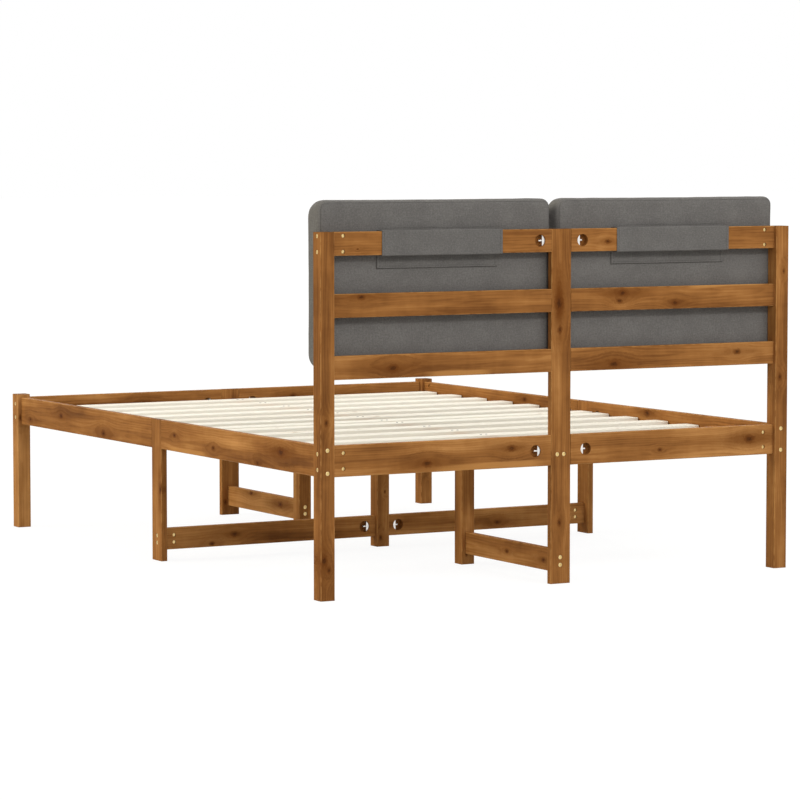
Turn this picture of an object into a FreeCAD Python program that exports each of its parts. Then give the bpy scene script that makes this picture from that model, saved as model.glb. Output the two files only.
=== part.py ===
import FreeCAD, Part
import math
import os
import re

os.makedirs("parts", exist_ok=True)
doc = FreeCAD.newDocument("SlattedBed")

# Driving sizes, in millimetres.
# X runs across the bed, Y from the foot to the head, Z up from the floor.
# The origin is on the floor, in the middle of the bed.
# Left is -X and right is +X, as seen from the foot.
sizes = {
    # whole bed
    "bed_length": 1970,
    "bed_width": 1432,
    "headboard_top": 928,
    "foot_post_top": 400,
    # timber sections
    "post": 40,
    "centre_leg": 40,
    "board": 18,
    "flat_post": 60,
    "eased_edge": 1.5,
    # rails at mattress level
    "rail_top": 391,
    "rail_height": 80,
    # rails of the headboard
    "crossrail_height": 60,
    "crossrail_pitch": 156,
    # low rails between the legs
    "stretcher_height": 60,
    "stretcher_bottom": 29,
    # slats and what carries them
    "slat_width": 62,
    "slat_thickness": 14,
    "slat_from_end": 67.625,
    "slat_below_rail": 28,
    "slat_end_gap": 4,
    "extra_slat_shift": 26.5,
    "beam_width": 60,
    "ledger_width": 22,
    "ledger_height": 30,
    "ledger_end_gap": 5,
    # bolts and the barrel nuts that they screw into
    "bolt_head_radius": 6,
    "bolt_head_height": 3,
    "bolt_radius": 3,
    "bolt_past_nut": 9,
    "bolt_spread_rail": 20,
    "bolt_spread_side": 29,
    "bolt_spread_low": 10,
    "bore_clearance": 0.3,
    "nut_radius": 5,
    "nut_length": 13,
    "nut_from_end": 31,
    # studs and the half-moon nuts on their ends
    "stud_radius": 3,
    "stud_past_moon": 8.5,
    "moon_hole_radius": 16,
    "moon_hole_depth": 15,
    "moon_thickness": 9,
    "moon_length": 12,
    "moon_from_end": 35,
    "moon_from_end_bed": 47,
    # dowels and screws
    "dowel_radius": 4,
    "dowel_length": 30,
    "dowel_spread": 18,
    "screw_radius": 2,
    "screw_head_radius": 3.5,
    "screw_head_height": 2,
    "screw_sink": 0.8,
    "screw_spread": 8.5,
    "slat_screw_length": 28,
    "ledger_screw_length": 35,
    "leg_screw_length": 50,
    # cushions, their patches and their straps
    "cushion_width": 686,
    "cushion_height": 430,
    "cushion_depth": 75,
    "cushion_top": 1007,
    "cushion_spacing": 19,
    "cushion_shift": 4.5,
    "cushion_corner": 42,
    "cushion_back_corner": 24,
    "cushion_edge": 16,
    "cushion_crown": 8,
    "cushion_pull": 1,
    "crown_reach": 110,
    "cover_thickness": 1.5,
    "fabric_clearance": 0.3,
    "strap_width": 355,
    "strap_thickness": 2,
    "strap_hem": 10,
    "strap_tab": 34,
    "patch_thickness": 1,
    "patch_border": 2,
}

sheet = doc.addObject("Spreadsheet::Sheet", "Sizes")
for row, (alias, number) in enumerate(sizes.items(), start=1):
    sheet.set(f"A{row}", alias)
    sheet.set(f"B{row}", str(number))
    sheet.setAlias(f"B{row}", alias)
doc.recompute()

# Counts, and shares of the sizes that they follow.
slatsPerHalf = 6
firstSlatShare = 0.75
ledgerScrewShares = (-0.42, -0.14, 0.14, 0.42)
cornerChords = 4
backEdgeShares = ((0, 0.6), (0.3, 0.15), (1, 0))
frontEdgeShares = ((1, 0), (0.4, 0.1), (0.1, 0.4))
crownShares = ((0.85, 0), (0.4, 0.35), (0, 1))

# Places that several pieces share, worked out from the driving sizes.
places = {
    "side_x": "(bed_width/2)",
    "head_y": "(bed_length/2)",
    "post_x": "(bed_width/2 - post)",
    "post_y": "(bed_length/2 - post)",
    "rail_line_x": "(bed_width/2 - post/2)",
    "rail_line_y": "(bed_length/2 - post/2)",
    "rail_bottom": "(rail_top - rail_height)",
    "rail_middle": "(rail_top - rail_height/2)",
    "top_rail_middle": "(headboard_top - crossrail_height/2)",
    "stretcher_middle": "(stretcher_bottom + stretcher_height/2)",
    "slat_bottom": "(rail_top - slat_below_rail - slat_thickness)",
    "slat_pitch": "((bed_length/2 - post/2 - board/2 - slat_from_end)"
                  f"/{firstSlatShare + slatsPerHalf - 1})",
    "beam_bottom": "(rail_top - slat_below_rail - slat_thickness - board)",
    "centre_leg_y": "((bed_length/2 - post/2 - board/2)/2)",
    "cushion_back": "(bed_length/2 - post - fabric_clearance)",
    "cushion_middle": "(cushion_spacing/2 + cushion_width/2)",
    "strap_back": "(bed_length/2 - post/2 + board/2 + fabric_clearance)",
    "strap_under": "(headboard_top - crossrail_height - fabric_clearance - strap_thickness)",
}

# The sides and ends of the bed, each with its sign along X or Y.
sides = {"left": "-1", "right": "1"}
ends = {"head": "1", "foot": "-1"}
outward = {"left": "-x", "right": "+x"}
inward = {"left": "+x", "right": "-x"}

# The turn that brings a tool or fastener, made along Z, to each heading.
turns = {
    "+x": FreeCAD.Rotation(FreeCAD.Vector(0, 1, 0), 90),
    "-x": FreeCAD.Rotation(FreeCAD.Vector(0, 1, 0), -90),
    "+y": FreeCAD.Rotation(FreeCAD.Vector(1, 0, 0), -90),
    "-y": FreeCAD.Rotation(FreeCAD.Vector(1, 0, 0), 90),
    "+z": FreeCAD.Rotation(),
    "-z": FreeCAD.Rotation(FreeCAD.Vector(1, 0, 0), 180),
}

blanks = {}
grains = {}
cutters = {}
fasteners = {"post_bolts": [], "barrel_nuts": [], "joining_studs": [], "half_moon_nuts": [],
             "wood_screws": [], "dowels": []}
nodes = []


def bound(text):
    for name, meaning in places.items():
        text = re.sub(rf"\b{name}\b", meaning, text)
    return re.sub(r"[a-z][a-z_]+", lambda word: "Sizes." + word.group(), text)


def value(text):
    return sheet.evalExpression(bound(text))


def bind(item, **expressions):
    for name, text in expressions.items():
        item.setExpression(name, bound(text))
    return item


def place(item, point, heading="+z"):
    item.Placement = FreeCAD.Placement(FreeCAD.Vector(), turns[heading])
    for axis, text in zip("xyz", point):
        item.setExpression(f"Placement.Base.{axis}", bound(text))
    return item


def moved(point, heading, distance):
    sign, axis = heading
    shifted = list(point)
    index = "xyz".index(axis)
    shifted[index] = f"{shifted[index]} {sign} ({distance})"
    return tuple(shifted)


# A round thing drawn with few flat sides, from a point along a heading.
def prism(name, sideCount, radius, length, point, heading):
    item = doc.addObject("Part::Prism", name)
    item.Polygon = sideCount
    bind(item, Circumradius=radius, Height=length)
    return place(item, point, heading)


def box(name, size, middleX, middleY, bottom):
    item = doc.addObject("Part::Box", name)
    bind(item, Length=size[0], Width=size[1], Height=size[2])
    return place(item, (f"{middleX} - ({size[0]})/2", f"{middleY} - ({size[1]})/2", bottom))


def fused(name, shapes):
    item = doc.addObject("Part::MultiFuse", name)
    item.Shapes = shapes
    return item


def finished(item, name):
    item.Label = name
    nodes.append(item)
    return item


# Timber: a planed blank whose long edges are eased, drilled further on.
def timber(name, grain, size, middleX, middleY, bottom):
    body = doc.addObject("PartDesign::Body", f"{name}_blank")
    blank = body.newObject("PartDesign::AdditiveBox", f"{name}_box")
    bind(blank, Length=size[0], Width=size[1], Height=size[2])
    place(blank, (f"{middleX} - ({size[0]})/2", f"{middleY} - ({size[1]})/2", bottom))
    blanks[name] = body
    grains[name] = grain
    cutters[name] = []


def runsAlong(edge, grain):
    direction = edge.Vertexes[-1].Point - edge.Vertexes[0].Point
    return abs(getattr(direction.normalize(), grain)) > 0.5


def easeEdges(name):
    body = blanks[name]
    blank = body.Tip
    longEdges = [f"Edge{index}" for index, edge in enumerate(blank.Shape.Edges, start=1)
                 if runsAlong(edge, grains[name])]
    chamfer = body.newObject("PartDesign::Chamfer", f"{name}_eased")
    chamfer.Base = (blank, longEdges)
    bind(chamfer, Size="eased_edge")


def drillOut(name):
    tools = cutters[name]
    if not tools:
        return blanks[name]
    piece = doc.addObject("Part::Cut", f"{name}_drilled")
    piece.Base = blanks[name]
    piece.Tool = tools[0] if len(tools) == 1 else fused(f"{name}_holes", tools)
    return piece


# Headboard: corner posts, a flat middle post, and rails in two halves between them.
def buildHeadboard():
    timber("head_post_middle", "z", ("flat_post", "board", "headboard_top"), "0", "rail_line_y", "0")
    length = "post_x - flat_post/2"
    rails = {
        "headboard_top_rail": ("crossrail_height", "headboard_top - crossrail_height"),
        "headboard_middle_rail": ("crossrail_height", "headboard_top - crossrail_height - crossrail_pitch"),
        "headboard_lower_rail": ("crossrail_height", "headboard_top - crossrail_height - 2*crossrail_pitch"),
        "head_rail": ("rail_height", "rail_bottom"),
    }
    for side, sign in sides.items():
        timber(f"head_post_{side}", "z", ("post", "post", "headboard_top"),
               f"{sign}*rail_line_x", "rail_line_y", "0")
        for rail, (height, bottom) in rails.items():
            timber(f"{rail}_{side}", "x", (length, "board", height),
                   f"{sign}*(post_x + flat_post/2)/2", "rail_line_y", bottom)


# Foot end: low corner posts, a flat middle post and the foot rail in two halves.
def buildFootEnd():
    timber("foot_post_middle", "z", ("flat_post", "board", "rail_top"), "0", "-1*rail_line_y", "0")
    for side, sign in sides.items():
        timber(f"foot_post_{side}", "z", ("post", "post", "foot_post_top"),
               f"{sign}*rail_line_x", "-1*rail_line_y", "0")
        timber(f"foot_rail_{side}", "x", ("post_x - flat_post/2", "board", "rail_height"),
               f"{sign}*(post_x + flat_post/2)/2", "-1*rail_line_y", "rail_bottom")


# Long sides: each side rail is in two halves with a flat leg between them.
def buildSides():
    for side, sign in sides.items():
        timber(f"side_leg_{side}", "z", ("board", "flat_post", "rail_top"), f"{sign}*rail_line_x", "0", "0")
        for end, toward in ends.items():
            timber(f"side_rail_{side}_{end}", "y", ("board", "post_y - flat_post/2", "rail_height"),
                   f"{sign}*rail_line_x", f"{toward}*(post_y + flat_post/2)/2", "rail_bottom")


# Middle of the bed: the beam in two halves, its three legs and the low stretchers.
def buildCentre():
    legs = {"head": "centre_leg_y", "middle": "0", "foot": "-1*centre_leg_y"}
    for name, along in legs.items():
        timber(f"centre_leg_{name}", "z", ("centre_leg", "centre_leg", "beam_bottom"), "0", along, "0")
    for end, toward in ends.items():
        timber(f"centre_beam_{end}", "y", ("beam_width", "rail_line_y - board/2", "board"),
               "0", f"{toward}*(rail_line_y - board/2)/2", "beam_bottom")
        near = "(centre_leg_y + centre_leg/2)"
        far = "(rail_line_y - board/2)"
        timber(f"long_stretcher_{end}", "y", ("board", f"{far} - {near}", "stretcher_height"),
               "0", f"{toward}*({far} + {near})/2", "stretcher_bottom")
    for side, sign in sides.items():
        near = "centre_leg/2"
        far = "(rail_line_x - board/2)"
        timber(f"cross_stretcher_{side}", "x", (f"{far} - {near}", "board", "stretcher_height"),
               f"{sign}*({far} + {near})/2", "0", "stretcher_bottom")


# Ledgers: battens inside the side rails, stopped short of the nuts and of the big holes.
def buildLedgers():
    near = "(flat_post/2 + moon_from_end_bed + moon_hole_radius + ledger_end_gap)"
    far = "(post_y - nut_from_end - nut_radius - ledger_end_gap)"
    lengths = {"head": f"{far} - {near}", "middle": "flat_post", "foot": f"{far} - {near}"}
    middles = {"head": f"({far} + {near})/2", "middle": "0", "foot": f"-1*({far} + {near})/2"}
    for side, sign in sides.items():
        battens = []
        for part, length in lengths.items():
            battens.append(box(f"ledger_{side}_{part}", ("ledger_width", length, "ledger_height"),
                               f"{sign}*(rail_line_x - board/2 - ledger_width/2)", middles[part],
                               "slat_bottom - ledger_height"))
            screws = ledgerScrewShares if length != "flat_post" else (0,)
            for share in screws:
                start = (f"{sign}*(rail_line_x - board/2 - ledger_width)",
                         f"{middles[part]} + {share}*({length})", "slat_bottom - ledger_height/2")
                screw(start, outward[side], "ledger_screw_length")
        group = doc.addObject("Part::Compound", f"ledgers_{side}_group")
        group.Links = battens
        finished(group, f"ledgers_{side}")


# Slats: evenly pitched from both sides of the middle, with one extra slat over the beam's joint.
def buildSlats():
    steps = range(slatsPerHalf)
    rows = [f"(({firstSlatShare} + {step})*slat_pitch)" for step in steps]
    across = [*reversed(rows), "extra_slat_shift", *(f"-1*{row}" for row in rows)]
    length = "2*(rail_line_x - board/2 - slat_end_gap)"
    for number, along in enumerate(across, start=1):
        name = f"slat_{number:02d}"
        timber(name, "x", (length, "slat_width", "slat_thickness"), "0", along, "slat_bottom")
        for sign in sides.values():
            top = (f"{sign}*screw_spread", along, "slat_bottom + slat_thickness")
            cutters[name].append(prism("screw_recess", 6, "screw_head_radius + bore_clearance",
                                       "screw_sink + screw_head_height", top, "-z"))
            screw(moved(top, "-z", "screw_sink"), "-z", "slat_screw_length")


def screw(start, heading, length):
    head = prism("screw_head", 6, "screw_head_radius", "screw_head_height", start, heading)
    shank = prism("screw_shank", 4, "screw_radius", length, start, heading)
    fasteners["wood_screws"].append(fused("screw", [head, shank]))


def screwBeamToLegs():
    for sign in sides.values():
        for along in ends.values():
            screw((f"{sign}*screw_spread", f"{along}*centre_leg_y", "slat_bottom"), "-z", "leg_screw_length")
    for along in ends.values():
        screw(("0", f"{along}*centre_leg/4", "slat_bottom"), "-z", "leg_screw_length")


# A furniture bolt: its head lies in a counterbore in the first piece,
# and its end screws into a barrel nut across the second piece.
def bolt(first, second, face, heading, thickness, nutHeading, nutFace):
    head = prism("bolt_head", 8, "bolt_head_radius", "bolt_head_height", face, heading)
    reach = f"{thickness} + nut_from_end + bolt_past_nut"
    shank = prism("bolt_shank", 6, "bolt_radius", reach, face, heading)
    fasteners["post_bolts"].append(fused("bolt", [head, shank]))
    seat = prism("bolt_seat", 8, "bolt_head_radius + bore_clearance", "bolt_head_height", face, heading)
    bore = prism("bolt_bore", 6, "bolt_radius + bore_clearance", f"{reach} + bore_clearance", face, heading)
    crossing = list(moved(face, heading, f"{thickness} + nut_from_end"))
    crossing["xyz".index(nutHeading[1])] = nutFace
    hole = prism("nut_hole", 8, "nut_radius + bore_clearance", "(board + nut_length)/2", crossing, nutHeading)
    start = moved(crossing, nutHeading, "(board - nut_length)/2")
    fasteners["barrel_nuts"].append(prism("barrel_nut", 8, "nut_radius", "nut_length", start, nutHeading))
    cutters[first] += [seat, bore]
    cutters[second] += [bore, hole]


def boltCorners():
    for side, sign in sides.items():
        for spread in ("1", "-1"):
            across = (f"{sign}*side_x", "rail_line_y", f"top_rail_middle + {spread}*bolt_spread_rail")
            bolt(f"head_post_{side}", f"headboard_top_rail_{side}", across, inward[side], "post",
                 "-y", "rail_line_y + board/2")
            across = (f"{sign}*side_x", "rail_line_y", f"rail_middle + {spread}*bolt_spread_rail")
            bolt(f"head_post_{side}", f"head_rail_{side}", across, inward[side], "post",
                 "-y", "rail_line_y + board/2")
            across = (f"{sign}*side_x", "-1*rail_line_y", f"rail_middle + {spread}*bolt_spread_rail")
            bolt(f"foot_post_{side}", f"foot_rail_{side}", across, inward[side], "post",
                 "+y", "-1*(rail_line_y + board/2)")
            for end, toward in ends.items():
                along = (f"{sign}*rail_line_x", f"{toward}*head_y", f"rail_middle + {spread}*bolt_spread_side")
                bolt(f"{end}_post_{side}", f"side_rail_{side}_{end}", along, "-y" if end == "head" else "+y",
                     "post", outward[side], f"{sign}*(rail_line_x - board/2)")


def boltLegs():
    for spread in ("1", "-1"):
        low = f"stretcher_middle + {spread}*bolt_spread_low"
        for side, sign in sides.items():
            bolt(f"side_leg_{side}", f"cross_stretcher_{side}",
                 (f"{sign}*(rail_line_x + board/2)", "0", low), inward[side], "board", "-y", "board/2")
        for end, toward in ends.items():
            toMiddle, toEnd = ("-y", "+y") if end == "head" else ("+y", "-y")
            outerFace = f"{toward}*(rail_line_y + board/2)"
            bolt(f"{end}_post_middle", f"long_stretcher_{end}", ("0", outerFace, low), toMiddle,
                 "board", "+x", "-1*board/2")
            bolt(f"{end}_post_middle", f"centre_beam_{end}",
                 (f"{spread}*bolt_spread_low", outerFace, "beam_bottom + board/2"), toMiddle,
                 "board", "+z", "beam_bottom")
            bolt(f"centre_leg_{end}", f"long_stretcher_{end}",
                 ("0", f"{toward}*(centre_leg_y - centre_leg/2)", low), toEnd,
                 "centre_leg", "+x", "-1*board/2")


# The knock-down joint of two half rails: a stud through the post between them,
# held by a half-moon nut at the near wall of a big blind hole in each rail.
def joinHalves(post, rails, middle, axis, halfPost, fromEnd, faceHeading, face):
    toHole = f"({halfPost} + {fromEnd})"
    flat = f"({toHole} - moon_hole_radius + moon_thickness)"
    tip = f"({flat} + stud_past_moon)"
    back = "-" + axis
    stud = prism("stud", 6, "stud_radius", f"2*{tip}", moved(middle, back, tip), "+" + axis)
    fasteners["joining_studs"].append(stud)
    bore = prism("stud_bore", 6, "stud_radius + bore_clearance", f"2*{toHole}",
                 moved(middle, back, toHole), "+" + axis)
    cutters[post].append(bore)
    for rail, direction in zip(rails, ("-" + axis, "+" + axis)):
        mouth = list(moved(middle, direction, toHole))
        mouth["xyz".index(faceHeading[1])] = face
        hole = prism("moon_hole", 20, "moon_hole_radius", "moon_hole_depth", mouth, faceHeading)
        cutters[rail] += [bore, hole]
        start = moved(mouth, faceHeading, "(board - moon_length)/2")
        drum = prism("moon_drum", 20, "moon_hole_radius - bore_clearance", "moon_length", start, faceHeading)
        keep = moved(middle, direction, f"{toHole} - moon_hole_radius + moon_thickness/2")
        size = {"x": "2*moon_hole_radius", "y": "2*moon_hole_radius", "z": "2*moon_hole_radius"}
        size[axis] = "moon_thickness"
        keeper = box("moon_keeper", tuple(size.values()), keep[0], keep[1], f"{keep[2]} - moon_hole_radius")
        moon = doc.addObject("Part::Common", "half_moon")
        moon.Base = drum
        moon.Tool = keeper
        fasteners["half_moon_nuts"].append(moon)


def joinRails():
    joinHalves("head_post_middle", ("headboard_top_rail_left", "headboard_top_rail_right"),
               ("0", "rail_line_y", "top_rail_middle"), "x", "flat_post/2", "moon_from_end",
               "-y", "rail_line_y + board/2")
    joinHalves("head_post_middle", ("head_rail_left", "head_rail_right"),
               ("0", "rail_line_y", "rail_middle"), "x", "flat_post/2", "moon_from_end_bed",
               "-y", "rail_line_y + board/2")
    joinHalves("foot_post_middle", ("foot_rail_left", "foot_rail_right"),
               ("0", "-1*rail_line_y", "rail_middle"), "x", "flat_post/2", "moon_from_end_bed",
               "-y", "-1*(rail_line_y - board/2)")
    joinHalves("centre_leg_middle", ("cross_stretcher_left", "cross_stretcher_right"),
               ("0", "0", "stretcher_middle"), "x", "centre_leg/2", "moon_from_end",
               "-y", "board/2")
    for side, sign in sides.items():
        joinHalves(f"side_leg_{side}", (f"side_rail_{side}_foot", f"side_rail_{side}_head"),
                   (f"{sign}*rail_line_x", "0", "rail_middle"), "y", "flat_post/2", "moon_from_end_bed",
                   outward[side], f"{sign}*(rail_line_x - board/2)")


# The middle and lower headboard rails are glued to the posts with pairs of dowels.
def dowelRails():
    levels = {
        "headboard_middle_rail": "headboard_top - crossrail_height/2 - crossrail_pitch",
        "headboard_lower_rail": "headboard_top - crossrail_height/2 - 2*crossrail_pitch",
    }
    for rail, level in levels.items():
        for side, sign in sides.items():
            for post, joint in ((f"head_post_{side}", "post_x"), ("head_post_middle", "flat_post/2")):
                for spread in ("1", "-1"):
                    start = (f"{sign}*{joint} - dowel_length/2", "rail_line_y",
                             f"{level} + {spread}*dowel_spread")
                    dowel = prism("dowel", 6, "dowel_radius", "dowel_length", start, "+x")
                    fasteners["dowels"].append(dowel)
                    cutters[post].append(dowel)
                    cutters[f"{rail}_{side}"].append(dowel)


# Cushions: a box cushion whose edges are rounded, whose sides are drawn in between
# the corners and whose front is crowned. Its corners are tighter at the back, along the seam.
def outline(middleX, backY, width, height, middleZ, radius):
    straightX = width/2 - radius
    straightZ = height/2 - radius
    pullX = value("cushion_pull/(cushion_height/2 - cushion_corner)")*straightZ
    pullZ = value("cushion_pull/(cushion_width/2 - cushion_corner)")*straightX
    points = []
    for quarter, (right, up) in enumerate(((1, 1), (-1, 1), (-1, -1), (1, -1))):
        centreX = middleX + right*straightX
        centreZ = middleZ + up*straightZ
        for step in range(cornerChords + 1):
            turn = math.pi/2*(quarter + step/cornerChords)
            points.append(FreeCAD.Vector(centreX + radius*math.cos(turn), backY,
                                         centreZ + radius*math.sin(turn)))
        points.append(FreeCAD.Vector(middleX + (width/2 - pullX)*math.cos(turn), backY,
                                     middleZ + (height/2 - pullZ)*math.sin(turn)))
    return points


def cushionShape(middleX, skin):
    width = value("cushion_width") - 2*skin
    height = value("cushion_height") - 2*skin
    depth = value("cushion_depth") - 2*skin
    middleZ = value("cushion_top - cushion_height/2")
    back = value("cushion_back") - skin
    edge = value("cushion_edge")
    crown = value("cushion_crown")
    corner = value("cushion_corner")
    layers = [(edge*along, edge*inset, value("cushion_back_corner")) for along, inset in backEdgeShares]
    layers += [(depth - crown - edge*along, edge*inset, corner) for along, inset in frontEdgeShares]
    layers += [(depth - crown*along, edge + value("crown_reach")*inset, corner) for along, inset in crownShares]
    rings = [outline(middleX, back - along, width - 2*inset, height - 2*inset, middleZ, radius)
             for along, inset, radius in layers]
    faces = [rings[0], rings[-1]]
    for lower, upper in zip(rings, rings[1:]):
        for index in range(len(lower)):
            faces.append([lower[index - 1], lower[index], upper[index], upper[index - 1]])
    panels = [Part.Face(Part.makePolygon(corners + corners[:1])) for corners in faces]
    return Part.Solid(Part.makeShell(panels))


def buildCushion(side, sign):
    middle = f"({sign}*cushion_middle + cushion_shift)"
    middleX = value(middle)
    cover = doc.addObject("Part::Feature", f"cover_{side}")
    cover.Shape = cushionShape(middleX, 0).cut(cushionShape(middleX, value("cover_thickness")))
    finished(cover, f"cushion_cover_{side}")
    foam = doc.addObject("Part::Feature", f"foam_{side}")
    foam.Shape = cushionShape(middleX, value("cover_thickness + fabric_clearance"))
    finished(foam, f"cushion_foam_{side}")
    patch = box(f"patch_{side}",
                ("strap_width", "patch_thickness", "crossrail_height/2 + strap_tab + patch_border"),
                middle, "cushion_back + patch_thickness/2",
                "strap_under + strap_thickness - strap_tab - patch_border")
    finished(patch, f"cushion_patch_{side}")


# Strap: one broad flap that lies over the top rail, down its back and under it to the patch.
def buildStrap(side, sign):
    middle = f"({sign}*cushion_middle + cushion_shift)"
    front = "(cushion_back + fabric_clearance)"
    tabFront = "(cushion_back + patch_thickness + fabric_clearance)"
    rear = "(strap_back + strap_thickness)"
    over = "(headboard_top + fabric_clearance)"
    runs = {
        "over": (f"{rear} - {front}", f"({rear} + {front})/2", "strap_thickness", over),
        "behind": ("strap_thickness", "strap_back + strap_thickness/2",
                   f"{over} + strap_thickness - strap_under", "strap_under"),
        "under": (f"{rear} - {tabFront}", f"({rear} + {tabFront})/2", "strap_thickness", "strap_under"),
        "hem": ("strap_thickness", f"{front} + strap_thickness/2", "strap_hem",
                f"{over} + strap_thickness - strap_hem"),
        "tab": ("strap_thickness", f"{tabFront} + strap_thickness/2", "strap_tab",
                "strap_under + strap_thickness - strap_tab"),
    }
    lengths = [box(f"strap_{side}_{run}", ("strap_width", deep, tall), middle, middleY, bottom)
               for run, (deep, middleY, tall, bottom) in runs.items()]
    finished(fused(f"strap_{side}", lengths), f"cushion_strap_{side}")


buildHeadboard()
buildFootEnd()
buildSides()
buildCentre()
buildSlats()
buildLedgers()
screwBeamToLegs()
boltCorners()
boltLegs()
joinRails()
dowelRails()
for side, sign in sides.items():
    buildCushion(side, sign)
    buildStrap(side, sign)
doc.recompute()

for name in blanks:
    easeEdges(name)
for name in blanks:
    finished(drillOut(name), name)
for name, pieces in fasteners.items():
    group = doc.addObject("Part::Compound", f"{name}_group")
    group.Links = pieces
    finished(group, name)
doc.recompute()

failed = [item.Label for item in doc.Objects if {"Invalid", "Error"} & set(item.State)]
failed += [item.Label for item in nodes if item.Shape.isNull() or not item.Shape.isValid()]
if failed:
    raise RuntimeError(f"these failed: {failed}")

for item in nodes:
    item.Shape.exportStep(f"parts/{item.Label}.step")
print(f"{len(nodes)} nodes")
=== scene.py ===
import math
import random

import bmesh
import bpy
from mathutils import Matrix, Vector, noise


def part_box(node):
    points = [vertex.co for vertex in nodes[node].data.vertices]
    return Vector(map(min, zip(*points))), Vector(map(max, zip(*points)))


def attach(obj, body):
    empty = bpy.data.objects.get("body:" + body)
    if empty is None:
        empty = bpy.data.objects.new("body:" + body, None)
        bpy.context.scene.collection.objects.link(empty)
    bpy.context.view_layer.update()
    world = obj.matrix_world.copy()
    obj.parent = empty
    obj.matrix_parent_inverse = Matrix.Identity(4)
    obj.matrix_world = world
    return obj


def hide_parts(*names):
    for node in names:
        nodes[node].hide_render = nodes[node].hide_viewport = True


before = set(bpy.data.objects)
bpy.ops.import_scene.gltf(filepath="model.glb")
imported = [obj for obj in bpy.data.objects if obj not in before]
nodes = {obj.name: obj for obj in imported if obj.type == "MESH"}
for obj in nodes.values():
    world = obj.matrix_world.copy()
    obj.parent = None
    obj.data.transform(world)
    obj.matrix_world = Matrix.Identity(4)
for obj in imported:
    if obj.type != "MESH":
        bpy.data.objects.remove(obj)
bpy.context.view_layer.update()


def addObject(name, data):
    added = bpy.data.objects.new(name, data)
    bpy.context.scene.collection.objects.link(added)
    return added


# A socket that works in sums: each operator adds the Math node it stands for.
class Signal:
    def __init__(self, graph, socket):
        self.graph = graph
        self.socket = socket

    # a Math node on this socket and on any others
    def maths(self, operation, *others):
        return self.graph.node("ShaderNodeMath", dict(enumerate((self, *others))), operation=operation)

    def __add__(self, other):
        return self.maths("ADD", other)

    def __sub__(self, other):
        return self.maths("SUBTRACT", other)

    def __rsub__(self, other):
        return self.graph.node("ShaderNodeMath", {0: other, 1: self}, operation="SUBTRACT")

    def __mul__(self, other):
        return self.maths("MULTIPLY", other)

    def __abs__(self):
        return self.maths("ABSOLUTE")

    # another output of the same node
    def other(self, output):
        return Signal(self.graph, self.socket.node.outputs[output])

    # a smooth step: 0 at low, 1 at high
    def step(self, low, high):
        return self.graph.node("ShaderNodeMapRange", {"Value": self, "From Min": low, "From Max": high},
                               interpolation_type="SMOOTHSTEP")


# A node tree. A node is its type, what goes into its sockets, the output that counts, and its settings.
class Graph:
    def node(self, kind, sockets=None, out=0, **settings):
        made = self.tree.nodes.new(kind)
        # settings first, because some change the sockets
        for key, value in settings.items():
            setattr(made, key, value)
        for key, value in (sockets or {}).items():
            if isinstance(value, Signal):
                self.tree.links.new(value.socket, made.inputs[key])
            else:
                made.inputs[key].default_value = value
        return Signal(self, made.outputs[out]) if made.outputs else None


# The nodes of a new material, or of the world.
class Shader(Graph):
    def __init__(self, name, world=None):
        self.material = world or bpy.data.materials.new(name)
        self.material.use_nodes = True
        self.tree = self.material.node_tree
        self.tree.nodes.clear()

    def vector(self, operation, *values, out=0):
        return self.node("ShaderNodeVectorMath", dict(enumerate(values)), out, operation=operation)

    def parts(self, vector):
        first = self.node("ShaderNodeSeparateXYZ", {0: vector})
        return [first, first.other(1), first.other(2)]

    # a colour between stops, each a position and its colour
    def ramp(self, factor, stops):
        made = self.node("ShaderNodeValToRGB", {"Fac": factor})
        elements = made.socket.node.color_ramp.elements
        while len(elements) < len(stops):
            elements.new(0.5)
        for element, (position, colour) in zip(elements, stops):
            element.position = position
            element.color = (*colour, 1)
        return made

    def mix(self, factor, low, high):
        colours = [value if isinstance(value, Signal) else (*value, 1) for value in (low, high)]
        return self.node("ShaderNodeMix", {0: factor, 6: colours[0], 7: colours[1]}, out=2, data_type="RGBA")

    # noise on a stretched and shifted copy of a vector, from -0.5 to 0.5
    def grainNoise(self, vector, scale, shift=(0, 0, 0), detail=2, roughness=0.5):
        stretched = self.vector("MULTIPLY_ADD", vector, scale, shift)
        return self.node("ShaderNodeTexNoise", {
            "Vector": stretched, "Scale": 1.0, "Detail": detail, "Roughness": roughness}) - 0.5

    def bump(self, height, strength, distance):
        return self.node("ShaderNodeBump", {"Strength": strength, "Distance": distance, "Height": height})

    def finish(self, **sockets):
        named = {name.replace("_", " "): value for name, value in sockets.items()}
        surface = self.node("ShaderNodeBsdfPrincipled", named)
        self.node("ShaderNodeOutputMaterial", {"Surface": surface})
        return self.material


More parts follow.
